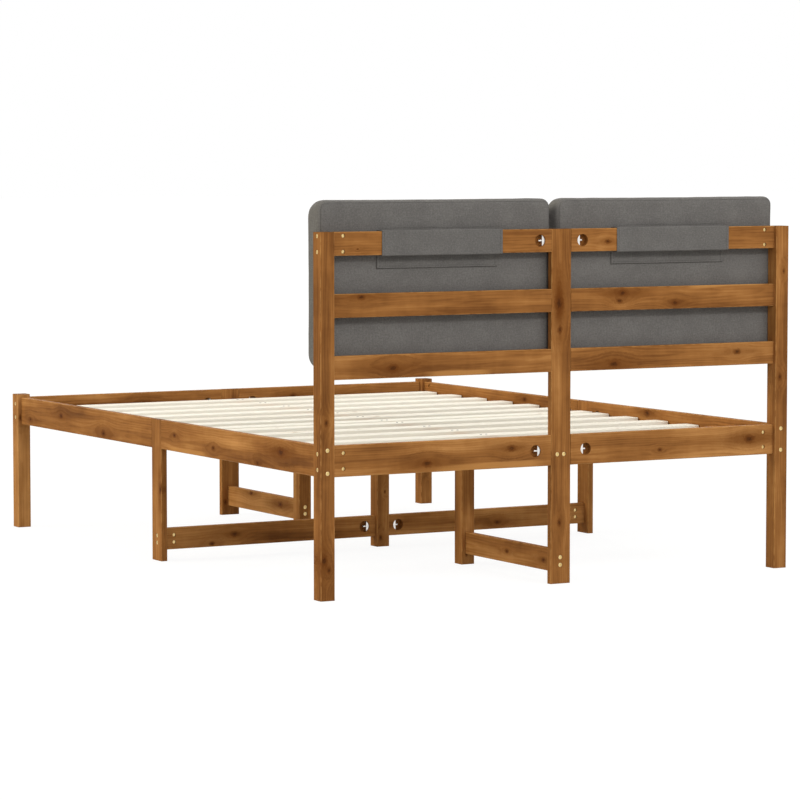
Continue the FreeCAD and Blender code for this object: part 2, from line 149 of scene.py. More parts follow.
# A Geometry Nodes tree with named inputs; make runs it on a source object, which it then removes.
class Maker(Graph):
    def __init__(self, name, inputs):
        self.tree = bpy.data.node_groups.new(name, "GeometryNodeTree")
        for label, kind in {"Geometry": "Geometry", "Material": "Material", **inputs}.items():
            self.tree.interface.new_socket(label, in_out="INPUT", socket_type=f"NodeSocket{kind}")
        self.tree.interface.new_socket("Geometry", in_out="OUTPUT", socket_type="NodeSocketGeometry")
        self.inputs = self.tree.nodes.new("NodeGroupInput").outputs

    def input(self, name):
        return Signal(self, self.inputs[name])

    # the tree's end: real copies in the given material
    def close(self, instances):
        real = self.node("GeometryNodeRealizeInstances", {0: instances})
        painted = self.node("GeometryNodeSetMaterial", {0: real, "Material": self.input("Material")})
        self.node("NodeGroupOutput", {0: painted})

    def make(self, name, source, **values):
        modifier = source.modifiers.new(name, "NODES")
        modifier.node_group = self.tree
        for item in self.tree.interface.items_tree:
            if item.in_out == "INPUT" and item.name in values:
                modifier[item.identifier] = values[item.name]
        bpy.context.view_layer.update()
        result = source.evaluated_get(bpy.context.evaluated_depsgraph_get())
        piece = addObject(name, bpy.data.meshes.new_from_object(result))
        bpy.data.objects.remove(source)
        return piece


def newPiece(name, built, smooth=True):
    mesh = bpy.data.meshes.new(name)
    built.to_mesh(mesh)
    built.free()
    if smooth:
        mesh.shade_smooth()
    return addObject(name, mesh)


# Joins points by edges, for a tree that works along lines.
def addLine(built, points):
    verts = [built.verts.new(point) for point in points]
    for first, second in zip(verts, verts[1:]):
        built.edges.new((first, second))


def paint(piece, material):
    piece.data.materials.clear()
    piece.data.materials.append(material)
    return piece


print("tools ready")

# Stained boards. The tones run from the darkest streak to the lightest.
stainedWood = {
    "tones": [(0.0, (0.088, 0.031, 0.009)), (0.34, (0.198, 0.077, 0.021)),
              (0.6, (0.316, 0.132, 0.036)), (1.0, (0.520, 0.250, 0.080))],
    "knot": (0.130, 0.040, 0.008),
    "knotRim": (0.046, 0.015, 0.005),
    "knotGlow": (0.135, 0.041, 0.007),
    "inside": (0.240, 0.092, 0.022),
    "endGrain": (0.170, 0.066, 0.014),
    "wornEdgeAndHighlight": (0.560, 0.290, 0.095),
    "sapwood": (0.480, 0.225, 0.066),
    "level": 0.58,
    "contrast": 1.0,
    "ringWidth": 0.0062,
    "rim": 0.0010,
    "roughness": 0.58,
}
# Bare planed slats.
paleWood = {
    "tones": [(0.0, (0.710, 0.585, 0.410)), (0.34, (0.890, 0.825, 0.705)),
              (0.6, (0.940, 0.890, 0.785)), (1.0, (0.960, 0.930, 0.850))],
    "knot": (0.420, 0.230, 0.090),
    "knotRim": (0.210, 0.100, 0.040),
    "knotGlow": (0.640, 0.460, 0.250),
    # painted shade: the walls of the slats' screw bores, drawn dark
    "inside": (0.060, 0.040, 0.024),
    "endGrain": (0.780, 0.660, 0.480),
    "wornEdgeAndHighlight": (0.955, 0.925, 0.850),
    # painted light: the slats' side faces, drawn bright for light the headboard and cushions keep off them
    "side": (0.970, 0.920, 0.790),
    "level": 0.64,
    "contrast": 0.5,
    "ringWidth": 0.0050,
    "rim": 0.0004,
    "roughness": 0.66,
}

# Boards clearly darker or lighter than the rest: partly their own tone, and partly painted light, as the boards
# under the bed are lightened for the light the bed keeps off them.
boardTonesAndPaintedLight = {
    "head_post_right": -0.045, "head_post_middle": -0.07, "head_post_left": -0.11,
    "headboard_top_rail_right": -0.07, "headboard_middle_rail_right": -0.16, "headboard_middle_rail_left": -0.14,
    "headboard_lower_rail_right": 0.07, "headboard_lower_rail_left": 0.11,
    "head_rail_right": 0.12, "head_rail_left": 0.15, "foot_rail_right": 0.10, "foot_rail_left": 0.10,
    "side_rail_right_head": 0.03, "side_leg_right": -0.07, "foot_post_right": 0.18,
    "cross_stretcher_right": 0.13, "cross_stretcher_left": 0.12,
    "long_stretcher_head": 0.05, "long_stretcher_foot": 0.22, "centre_leg_head": 0.06, "centre_leg_foot": 0.12,
}

# Knots that stand out, in the frame's millimetres: where along and across the board, and a radius.
knotPlaces = {
    "side_rail_right_head": [(746, 358, 15), (614, 320, 7.5), (354, 339, 7.5), (115, 355, 7.5)],
    "side_rail_right_foot": [(-352, 326, 12), (-649, 356, 10.5), (-875, 330, 7.5)],
    "side_leg_right": [(198, 24, 10.5)],
    "long_stretcher_foot": [(-601, 64, 12), (-796, 81, 9)],
    "cross_stretcher_right": [(469, 61, 10.5), (540, 38, 7.5)],
    "head_rail_right": [(402, 334, 12), (150, 362, 10.5)],
    "head_rail_left": [(-599, 355, 13.5), (-310, 338, 6)],
    "headboard_lower_rail_right": [(502, 581, 13.5)],
    "headboard_middle_rail_right": [(594, 763, 9)],
    "headboard_middle_rail_left": [(-189, 757, 10.5), (-180, 737, 7.5), (-356, 728, 9)],
    "headboard_lower_rail_left": [(-164, 571, 15), (-557, 592, 9)],
    "headboard_top_rail_right": [(604, 884, 3)],
    "foot_post_right": [(330, 706, 7.5)],
    "head_post_middle": [(734, 7, 16.5), (665, 4, 9), (160, 4, 7.5)],
    "head_post_right": [(450, 700, 7.5), (103, 707, 12), (78, 693, 7.5)],
    "head_post_left": [(520, -690, 7.5), (806, -700, 6)],
    "side_rail_left_foot": [(-331, 374, 10.5), (-700, 340, 9)],
    "side_rail_left_head": [(343, 378, 12), (690, 340, 7.5)],
    "long_stretcher_head": [(718, 59, 7.5), (904, 55, 9)],
    "foot_post_middle": [(40, 18, 7.5), (250, -10, 9)],
    "cross_stretcher_left": [(-387, 48, 9)],
    "foot_rail_right": [(300, 350, 13.5), (520, 330, 9)],
    "foot_rail_left": [(-220, 362, 10.5), (-470, 335, 13.5)],
}

# Pale sapwood, also in millimetres: its start and end, at the upper (1) or lower edge (-1), and how wide.
sapwoodPlaces = {
    "head_rail_right": (45, 400, -1, 12),
    "headboard_middle_rail_left": (-650, -380, 1, 9),
    "headboard_lower_rail_right": (200, 420, -1, 9),
    "side_rail_right_head": (60, 330, -1, 10),
}


def boardMaterial(name, look, seed):
    low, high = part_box(name)
    middle, half = (low + high)/2, (high - low)/2
    # along the grain, across the board's face and through its thickness
    along, wide, thick = sorted(range(3), key=lambda axis: -half[axis])
    chance = random.Random(seed)
    shader = Shader(f"{name}_wood")
    place = shader.node("ShaderNodeTexCoord", out="Object")
    centred = shader.node("ShaderNodeMapping", {"Vector": place, "Location": tuple(-middle)})
    parts = shader.parts(centred)
    board = shader.node("ShaderNodeCombineXYZ", {0: parts[along], 1: parts[wide], 2: parts[thick]})

    knots = [(knotAlong/1000 - middle[along], knotWide/1000 - middle[wide], radius/1000)
             for knotAlong, knotWide, radius in knotPlaces.get(name, [])]
    if not knots:
        for knot in range(chance.choice((1, 2, 2, 3) if look is stainedWood else (0, 1, 1, 2))):
            knots.append((chance.uniform(-0.85, 0.85)*half[along], chance.uniform(-0.6, 0.6)*half[wide],
                          chance.uniform(0.0035, 0.0075)))

    # the grain flows round each knot
    shift = tuple(chance.uniform(-40, 40) for axis in range(3))
    flow, disc, heart, glow = board, 0.0, 0.0, 0.0
    if knots:
        ragged = shader.grainNoise(board, (110, 190, 40), shift, 4, 0.72)
    for knotAlong, knotWide, radius in knots:
        away = shader.vector("SUBTRACT", board, (knotAlong, knotWide, 0))
        distance = shader.vector("LENGTH", shader.vector("MULTIPLY", away, (0.62, 1, 0)), out="Value")
        distance = distance + ragged*(radius*1.7)
        near = (distance*distance*(-1/(2.6*radius)**2)).maths("EXPONENT")
        push = shader.node("ShaderNodeVectorMath", {0: away, "Scale": near*0.85}, operation="SCALE")
        flow = shader.vector("SUBTRACT", flow, push)
        disc = distance.step(radius*1.05, radius*0.62).maths("MAXIMUM", disc)
        heart = distance.step(radius*0.58, radius*0.22).maths("MAXIMUM", heart)
        # the stain soaks in along the grain beside the knot, less at a small one
        flame = shader.vector("LENGTH", shader.vector("MULTIPLY", away, (0.2, 1, 0)), out="Value")
        flame = flame + ragged*(radius*0.9)
        reach = (flame*flame*(-1/(1.45*radius)**2)).maths("EXPONENT")*min(1, max(0.25, (radius - 0.003)/0.008))
        glow = reach.maths("MAXIMUM", glow)

    # yearly rings about a pith that lies outside the board
    flowParts = shader.parts(flow)
    pithWide = chance.uniform(-0.9, 0.9)*half[wide]
    pithThick = (half[thick] + chance.uniform(0.004, 0.022))*chance.choice((-1, 1))
    drift = shader.grainNoise(flow, (1.7, 11, 11), shift, 2)
    waver = shader.grainNoise(flow, (9, 70, 70), shift, 2)
    acrossWide, acrossThick = flowParts[1] - pithWide, flowParts[2] - pithThick
    fromPith = acrossWide*acrossWide + acrossThick*acrossThick
    fromPith = fromPith.maths("SQRT") + drift*0.036 + waver*0.0030 \
        + flowParts[0]*chance.choice((-0.014, -0.009, 0.009, 0.014))
    ring = (fromPith*(1/look["ringWidth"])).maths("FRACT")
    late = ring.step(0.25, 0.88)*ring.step(1.0, 0.9)

    # long streaks, blotches, ripples across the grain and fine fibres
    streak = shader.grainNoise(flow, (1.5, 42, 42), shift, 4, 0.58)
    blotch = shader.grainNoise(flow, (6, 24, 24), shift, 3, 0.6)
    cloud = shader.grainNoise(board, (2.4, 10, 10), shift, 1)
    ripple = shader.grainNoise(board, (26, 11, 11), shift, 2, 0.6)
    line = shader.grainNoise(flow, (3.5, 170, 170), shift, 3, 0.62)
    fibre = shader.grainNoise(flow, (16, 800, 800), shift, 3, 0.6)
    pore = shader.grainNoise(flow, (60, 2600, 2600), shift, 1)
    smudge = drift.step(0.05, 0.2)*streak.step(-0.12, 0.12)
    # tone and painted light: the boards under the bed are lifted where the bed shades them
    tone = chance.uniform(-0.05, 0.05) + look["level"] + boardTonesAndPaintedLight.get(name, 0)
    shade = streak*0.8 + blotch*0.6 + cloud*0.75 + ripple*0.22 + line*0.45 - late*0.09 - smudge*0.16 + fibre*0.18
    shade = shade*look["contrast"] + tone
    colour = shader.ramp(shade, look["tones"])

    if name in sapwoodPlaces:
        start, end, side, width = sapwoodPlaces[name]
        reach = parts[along] - (start + end)/2000 + middle[along]
        reach = abs(reach).step((end - start)/2000, (end - start)/2000 - 0.05)
        inward = half[wide] - parts[wide]*side + drift*0.03 + waver*0.01
        pale = inward.step(width/1000 + 0.003, width/1000 - 0.002)*reach*0.75
        colour = shader.mix(pale, colour, look["sapwood"])

    # knots: soaked wood beside them, a reddish body and a dark, broken heart
    if knots:
        soak = glow*(streak*1.8 + line*0.8 + 0.66)
        colour = shader.mix(soak.maths("MAXIMUM", 0.0), colour, look["knotGlow"])
        colour = shader.mix(disc*(ragged*1.3 + line*0.8 + 0.66), colour, look["knot"])
        colour = shader.mix(heart*(ragged*1.9 + 0.70), colour, look["knotRim"])

    # how far to the nearest end, edge and face
    inside = [half[axis] - abs(parts[axis]) for axis in (along, wide, thick)]
    # wear with a painted highlight on the long edges, painted light on the slats' side faces, darker end grain,
    # and the walls inside bores: raw wood on the stained boards, painted shade in the slats' bores
    edge = inside[1].maths("MAXIMUM", inside[2])
    rub = shader.grainNoise(board, (55, 240, 240), shift, 2)
    # the long edges are lightened partly for wear and partly as a painted highlight, as if they caught the light
    wornEdgeAndHighlight = edge.step(0.0026, 0.0008)*rub.step(-0.16, 0.10)
    colour = shader.mix(wornEdgeAndHighlight*0.5, colour, look["wornEdgeAndHighlight"])
    # painted light: the slats' side faces are lightened toward a pale colour, standing in for light the headboard
    # keeps off them
    if look is paleWood:
        colour = shader.mix(inside[1].step(0.0008, 0.0002), colour, look["side"])
    colour = shader.mix(inside[0].step(0.0006, 0.0002)*0.75, colour, look["endGrain"])
    # walls inside bores: the stained boards' raw wall colour, and painted shade in the slats' screw bores
    depth = (inside[0] - 0.0005).maths("MINIMUM", inside[1] - 0.0015).maths("MINIMUM", inside[2])
    colour = shader.mix(depth.step(0.0002, look["rim"])*0.9, colour, look["inside"])

    roughness = fibre*0.25 - wornEdgeAndHighlight*0.06 + late*0.06 + look["roughness"]
    height = fibre*0.5 + pore*0.3 + late*0.35 + rub*0.15
    if knots:
        height = height - disc*0.5
    return shader.finish(Base_Color=colour, Roughness=roughness, Specular_IOR_Level=0.03,
                         Normal=shader.bump(height, 0.35, 0.0006))


hardwareNodes = ("post_bolts", "barrel_nuts", "joining_studs", "half_moon_nuts", "wood_screws")
boards = [name for name in nodes if not name.startswith("cushion") and name not in hardwareNodes]
for seed, name in enumerate(boards, 12):
    look = paleWood if name.startswith(("slat", "dowels")) else stainedWood
    for slot in nodes[name].material_slots:
        slot.material = boardMaterial(name, look, seed)
print("boards grained and stained")


# Plated metal with fine scratches and a slightly uneven shine.
def platedMetal(name, colour, dull, roughness):
    shader = Shader(name)
    place = shader.node("ShaderNodeTexCoord", out="Object")
    patch = shader.grainNoise(place, (260, 260, 260), (3, 1, 7), 3)
    scratch = shader.grainNoise(place, (2400, 500, 900), (1, 5, 2), 2)
    tint = shader.mix((patch*1.6 + 0.3).maths("MAXIMUM", 0.0), colour, dull)
    return shader.finish(Base_Color=tint, Metallic=1.0, Roughness=patch*0.25 + scratch*0.12 + roughness,
                         Normal=shader.bump(scratch + patch, 0.15, 0.0002))


brassPlate = platedMetal("brass_plate", (0.84, 0.65, 0.31), (0.55, 0.39, 0.15), 0.30)
zincPlate = platedMetal("zinc_plate", (0.90, 0.88, 0.85), (0.66, 0.65, 0.63), 0.34)
# painted shade: a near-black plating for the zinc screw heads
screwShadePlate = platedMetal("screw_shade_plate", (0.050, 0.046, 0.042), (0.024, 0.022, 0.020), 0.45)
for slot in nodes["half_moon_nuts"].material_slots:
    slot.material = zincPlate


# The separate solids of one node, each as its list of corners.
def solidsOf(name):
    built = bmesh.new()
    built.from_mesh(nodes[name].data)
    bmesh.ops.remove_doubles(built, verts=built.verts, dist=1e-6)
    found = []
    for start in built.verts:
        if start.tag:
            continue
        start.tag = True
        group = [start]
        for vert in group:
            for edge in vert.link_edges:
                other = edge.other_vert(vert)
                if not other.tag:
                    other.tag = True
                    group.append(other)
        found.append([vert.co.copy() for vert in group])
    built.free()
    return found


# Where a fastener lies: its long axis, its middle, and the end that carries the head.
def fastenerPlace(corners):
    low = Vector(min(corner[axis] for corner in corners) for axis in range(3))
    high = Vector(max(corner[axis] for corner in corners) for axis in range(3))
    long = max(range(3), key=lambda axis: high[axis] - low[axis])
    heading = Vector((0, 0, 0))
    heading[long] = 1
    middle = (low + high)/2
    widest = max(corners, key=lambda corner: (corner - middle - heading*(corner - middle)[long]).length)
    if widest[long] < middle[long]:
        heading = -heading
    return middle, heading, (high - low)[long]/2


# Outlines of a head and its drive: each gives the point at one turn, for a width and a height.
ringSteps = 24


def roundRing(turn, wide, tall):
    return wide*math.cos(turn), tall*math.sin(turn)


def hexRing(turn, wide, tall):
    reach = wide*math.cos(math.pi/6)/math.cos(turn % (math.pi/3) - math.pi/6)
    return reach*math.cos(turn), reach*math.sin(turn)


def slotRing(turn, wide, tall):
    return [size*max(-1, min(1, 1.42*share)) for size, share in
            ((wide, math.cos(turn)), (tall, math.sin(turn)))]


def crossRing(turn, wide, tall):
    step = round(turn/(2*math.pi)*ringSteps)
    x, y = [(wide, 0), (wide, tall), (wide*0.5, tall), (tall, tall), (tall, wide*0.5), (tall, wide)][step % 6]
    quarter = step//6*math.pi/2
    return (x*math.cos(quarter) - y*math.sin(quarter), x*math.sin(quarter) + y*math.cos(quarter))


def circle(radius, height):
    return roundRing, radius, radius, height


# A small metal head as rings from its underside up and down into its drive, Z outwards.
def headPiece(name, rings):
    built = bmesh.new()
    turns = [step*2*math.pi/ringSteps for step in range(ringSteps)]
    loops = [[built.verts.new((*shape(turn, wide, tall), height)) for turn in turns]
             for shape, wide, tall, height in rings]
    for lower, upper in zip(loops, loops[1:]):
        for step in range(ringSteps):
            built.faces.new((lower[step - 1], lower[step], upper[step], upper[step - 1]))
    built.faces.new(loops[0][::-1])
    built.faces.new(loops[-1])
    bmesh.ops.recalc_face_normals(built, faces=built.faces)
    return newPiece(name, built, smooth=False)


# Copies a head onto points, each turned along its heading and spun by chance.
fastenerMaker = Maker("fastenerMaker", {"Head": "Object", "Seed": "Int"})
head = fastenerMaker.node("GeometryNodeObjectInfo", {"Object": fastenerMaker.input("Head")}, "Geometry")
heading = fastenerMaker.node("GeometryNodeInputNamedAttribute", {"Name": "heading"}, data_type="FLOAT_VECTOR")
aim = fastenerMaker.node("FunctionNodeAlignRotationToVector", {"Vector": heading}, axis="Z")
spin = fastenerMaker.node("FunctionNodeRandomValue", {2: 0.0, 3: 2*math.pi, "Seed": fastenerMaker.input("Seed")},
                          out=1, data_type="FLOAT")
spun = fastenerMaker.node("FunctionNodeAxisAngleToRotation", {"Axis": (0, 0, 1), "Angle": spin})
turned = fastenerMaker.node("FunctionNodeRotateRotation", {0: aim, 1: spun}, rotation_space="LOCAL")
fastenerMaker.close(fastenerMaker.node("GeometryNodeInstanceOnPoints", {
    0: fastenerMaker.input("Geometry"), "Instance": head, "Rotation": turned}))


def placeFasteners(name, head, places, material, seed):
    mesh = bpy.data.meshes.new(name)
    mesh.from_pydata([tuple(point) for point, heading in places], [], [])
    field = mesh.attributes.new("heading", "FLOAT_VECTOR", "POINT")
    for item, (point, heading) in zip(field.data, places):
        item.vector = heading
    piece = fastenerMaker.make(name, addObject(name + "_points", mesh), Head=head, Material=material, Seed=seed)
    bpy.data.objects.remove(head)
    return piece


# Furniture bolts: a low rounded head with a hexagon socket, sunk a little in the wood.
boltHead = {"radius": 0.0058, "height": 0.0026, "round": 0.0004, "dome": 0.0017, "socket": 0.0026,
            "socketDepth": 0.0017, "lead": 0.0003, "shank": 0.0030, "shankLength": 0.0300, "below": 0.0005}
places = []
for corners in solidsOf("post_bolts"):
    middle, heading, reach = fastenerPlace(corners)
    places.append((middle + heading*(reach - boltHead["below"]), heading))
radius, height, socket, lead = (boltHead[key] for key in ("radius", "height", "socket", "lead"))
head = headPiece("bolt_head", [
    circle(boltHead["shank"], -boltHead["shankLength"]), circle(boltHead["shank"], -height),
    circle(radius, -height), circle(radius, -0.0007), circle(radius - boltHead["round"], -boltHead["round"]),
    circle(radius - boltHead["dome"], 0.0), (hexRing, socket + lead, 0, 0.0), (hexRing, socket, 0, -lead),
    (hexRing, socket - 0.0001, 0, -boltHead["socketDepth"])])
bolts = placeFasteners("bolts", head, places, brassPlate, 3)
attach(bolts, "frame")
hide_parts("post_bolts")

# Barrel nuts, slotted at both ends.
barrelNut = {"radius": 0.0049, "length": 0.013, "chamfer": 0.0006, "slot": 0.0036, "slotWidth": 0.0006,
             "slotDepth": 0.0013}
radius, half, chamfer = barrelNut["radius"], barrelNut["length"]/2, barrelNut["chamfer"]
nutEnd = [circle(radius, half - chamfer), circle(radius - chamfer, half),
          (slotRing, barrelNut["slot"], barrelNut["slotWidth"], half),
          (slotRing, barrelNut["slot"], barrelNut["slotWidth"], half - barrelNut["slotDepth"])]
otherEnd = [(shape, wide, tall, -height) for shape, wide, tall, height in reversed(nutEnd)]
head = headPiece("nut_body", otherEnd + nutEnd)
places = [fastenerPlace(corners)[:2] for corners in solidsOf("barrel_nuts")]
nuts = placeFasteners("barrelNuts", head, places, brassPlate, 5)
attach(nuts, "frame")
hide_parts("barrel_nuts")

# Screws whose low domes stand just proud of the slats, drawn near black: painted shade on what are zinc heads.
screwHead = {"radius": 0.0036, "dome": 0.0013, "drive": 0.0018, "driveWidth": 0.0004, "driveDepth": 0.0014,
             "neck": 0.0030, "neckAt": 0.0014, "shank": 0.0018, "shankAt": 0.0034, "shankLength": 0.0220,
             "proud": 0.0014, "sunk": 0.0002}
radius, shank, drive, driveWidth = (screwHead[key] for key in ("radius", "shank", "drive", "driveWidth"))
head = headPiece("screw_head", [
    circle(shank, -screwHead["shankLength"]), circle(shank, -screwHead["shankAt"]),
    circle(screwHead["neck"], -screwHead["neckAt"]), circle(radius, -0.0006), circle(radius - 0.0003, -0.0002),
    circle(radius - screwHead["dome"], 0.0), (crossRing, drive, driveWidth, 0.0),
    (crossRing, drive*0.6, driveWidth*0.7, -screwHead["driveDepth"])])
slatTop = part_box("slat_07")[1].z
places = []
for corners in solidsOf("wood_screws"):
    middle, heading, reach = fastenerPlace(corners)
    lift = screwHead["proud"] if middle.z + reach > slatTop - 0.002 else -screwHead["sunk"]
    places.append((middle + heading*(reach + lift), heading))
screws = placeFasteners("screws", head, places, screwShadePlate, 9)
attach(screws, "frame")
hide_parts("wood_screws")

# Studs: a rod between the two tips, whose thread shows at each end.
studRod = {"radius": 0.0029, "thread": 0.00035, "pitch": 0.0010, "threadLength": 0.012, "sides": 14}
studMaker = Maker("studMaker", {"Radius": "Float", "Thread": "Float", "Pitch": "Float"})
line = studMaker.node("GeometryNodeMeshToCurve", {0: studMaker.input("Geometry")})
length = studMaker.node("GeometryNodeSplineParameter", out="Length")
wave = length.maths("DIVIDE", studMaker.input("Pitch")).maths("FRACT").maths("PINGPONG", 0.5)
radius = studMaker.input("Radius") - wave*studMaker.input("Thread")
line = studMaker.node("GeometryNodeSetCurveRadius", {0: line, "Radius": radius})
profile = studMaker.node("GeometryNodeCurvePrimitiveCircle", {"Resolution": studRod["sides"], "Radius": 1.0})
studMaker.close(studMaker.node("GeometryNodeCurveToMesh", {
    0: line, 1: profile, "Scale": radius, "Fill Caps": True}))
mesh = bmesh.new()
for corners in solidsOf("joining_studs"):
    middle, heading, reach = fastenerPlace(corners)
    step = studRod["pitch"]/4  # four points to each turn of the thread
    stops = [reach - step*index for index in range(round(studRod["threadLength"]/step))]
    stops += [-stop for stop in reversed(stops)]
    addLine(mesh, [middle + heading*stop for stop in stops])
studs = studMaker.make("threadedStuds", newPiece("stud_lines", mesh, smooth=False), Radius=studRod["radius"],
                       Thread=studRod["thread"]*2, Pitch=studRod["pitch"], Material=zincPlate)
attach(studs, "frame")
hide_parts("joining_studs")
print("fasteners set in place")


# Woven cloth on the piece's own UV map, which is in metres.
clothLook = {
    "thread": 0.00105,
    "base": (0.148, 0.140, 0.131),
    "light": (0.248, 0.236, 0.221),
    "dark": (0.082, 0.077, 0.072),
    # painted shade in the seams' grooves
    "seamShade": (0.040, 0.037, 0.034),
    "roughness": 0.92,
}


def wovenCloth(name, look, lift=1.0):
    shader = Shader(name)
    uv = shader.node("ShaderNodeUVMap", uv_map="cloth")
    across, along = shader.parts(uv)[:2]
    warp, weft = across*(1/look["thread"]), along*(1/look["thread"])
    # a plain weave: warp and weft lie on top by turns, and each arches over the other
    over = (warp.maths("FLOOR") + weft.maths("FLOOR")).maths("FLOORED_MODULO", 2.0)
    warpArch = (warp.maths("FRACT")*math.pi).maths("SINE")
    weftArch = (weft.maths("FRACT")*math.pi).maths("SINE")
    height = warpArch*(weftArch*0.45 + 0.55)*over + weftArch*(warpArch*0.45 + 0.55)*(1 - over)
    # thick and thin yarns, flecks and a soft mottle, and painted shade that darkens the weave's hollows against
    # its crests
    warpSlub = shader.grainNoise(uv, (900, 34, 1), (0, 0, 3), 2)
    weftSlub = shader.grainNoise(uv, (34, 900, 1), (0, 0, 8), 2)
    slub = warpSlub*over + weftSlub*(1 - over)
    fleck = shader.grainNoise(uv, (520, 520, 1), (0, 0, 5), 3, 0.7)
    mottle = shader.grainNoise(uv, (210, 210, 1), (0, 0, 1), 3, 0.65)
    cloud = shader.grainNoise(uv, (14, 14, 1), (0, 0, 2), 2)
    shade = slub*0.8 + fleck*0.6 + mottle*0.8 + cloud*0.35 + height*0.2 + 0.38
    # lift scales the cloth's brightness: painted light or shade between copies of one cloth
    base, light = [tuple(lift*part for part in look[key]) for key in ("base", "light")]
    colour = shader.ramp(shade, [(0.0, look["dark"]), (0.5, base), (1.0, light)])
    # painted shade: the cloth is darkened along the seams' grooves
    seamShade = shader.node("ShaderNodeAttribute", out="Fac", attribute_name="seamShade")
    colour = shader.mix(seamShade*0.5, colour, look["seamShade"])
    normal = shader.bump(height + slub*0.8 + fleck*0.3, 0.55, 0.0005)
    return shader.finish(Base_Color=colour, Roughness=fleck*0.1 + look["roughness"], Normal=normal,
                         Sheen_Weight=0.06, Sheen_Roughness=0.5, Specular_IOR_Level=0.1)


# one cloth as two copies: the cushions' copy is painted lighter than the strap's, painted light that makes up for
# the deeper shade on the cushions
cushionCloth = wovenCloth("cushion_cloth", clothLook)
strapCloth = wovenCloth("strap_cloth", clothLook, 0.93)
threadShader = Shader("sewing_thread")
twist = threadShader.grainNoise(threadShader.node("ShaderNodeTexCoord", out="Object"), (900, 900, 900))
threadColour = threadShader.mix(twist + 0.5, (0.034, 0.032, 0.030), (0.085, 0.080, 0.073))
sewingThread = threadShader.finish(Base_Color=threadColour, Roughness=0.8)

# Stitches along lines: short rounded dashes a fixed pitch apart.
stitch = {"pitch": 0.0042, "length": 0.0030, "thickness": 0.0009}
stitchMaker = Maker("stitchMaker", {"Pitch": "Float", "Length": "Float", "Thickness": "Float"})
line = stitchMaker.node("GeometryNodeMeshToCurve", {0: stitchMaker.input("Geometry")})
line = stitchMaker.node("GeometryNodeResampleCurve", {0: line, "Length": stitchMaker.input("Pitch")},
                        mode="LENGTH")
tangent = stitchMaker.node("GeometryNodeInputTangent")
aim = stitchMaker.node("FunctionNodeAlignRotationToVector", {"Vector": tangent}, axis="Z")
dash = stitchMaker.node("GeometryNodeMeshUVSphere", {"Segments": 6, "Rings": 4, "Radius": 0.5})
thickness = stitchMaker.input("Thickness")
size = stitchMaker.node("ShaderNodeCombineXYZ", {0: thickness, 1: thickness, 2: stitchMaker.input("Length")})
stitchMaker.close(stitchMaker.node("GeometryNodeInstanceOnPoints", {
    0: line, "Instance": dash, "Rotation": aim, "Scale": size}))


# Sews along lines of points, as one piece on a body.
def sew(name, lines, body):
    mesh = bmesh.new()
    for points in lines:
        addLine(mesh, points)
    stitches = stitchMaker.make(name, newPiece(name + "_lines", mesh, smooth=False), Pitch=stitch["pitch"],
                                Length=stitch["length"], Thickness=stitch["thickness"], Material=sewingThread)
    stitches.data.shade_smooth()
    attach(stitches, body)


# Cushions: a boxed cushion whose seams run round the back and the front, just inside its edges.
cushion = {
    "corner": 0.042,  # rounding of the front's corners
    "backCorner": 0.024,
    "edge": 0.015,  # rounding from the faces to the sides
    "crown": 0.008,  # room for the front's crown
    "crownShare": 0.75,
    "crownReach": 0.11,
    "pull": 0.001,  # how far the sides pull in between the corners
    "pullReach": 0.06,
    "seamAt": 0.0055,  # from the cushion's outline
    "seamLipAt": 0.0010,  # from the seam
    "seamDepth": 0.0020,
    "seamLip": 0.0004,
    "meshStep": 0.012,
    "sideMeshStep": 0.009,
    "ripple": 0.0005,
    "swell": 3.5,  # air pressure
    "mostSwell": 0.006,
    "evenings": 6,
}


# Places of the mesh lines along a length: close at its ends, where the roundings and the seam are.
def spread(length, step):
    seamAt, lipAt = cushion["seamAt"], cushion["seamLipAt"]
    start = [0, 0.0025, seamAt - lipAt, seamAt, seamAt + lipAt, 0.0095, 0.0135, 0.0185, 0.026]
    room = length - 2*start[-1]
    count = max(1, round(room/step))
    middle = [start[-1] + room*index/count for index in range(1, count)]
    return start + middle + [length - offset for offset in reversed(start)]


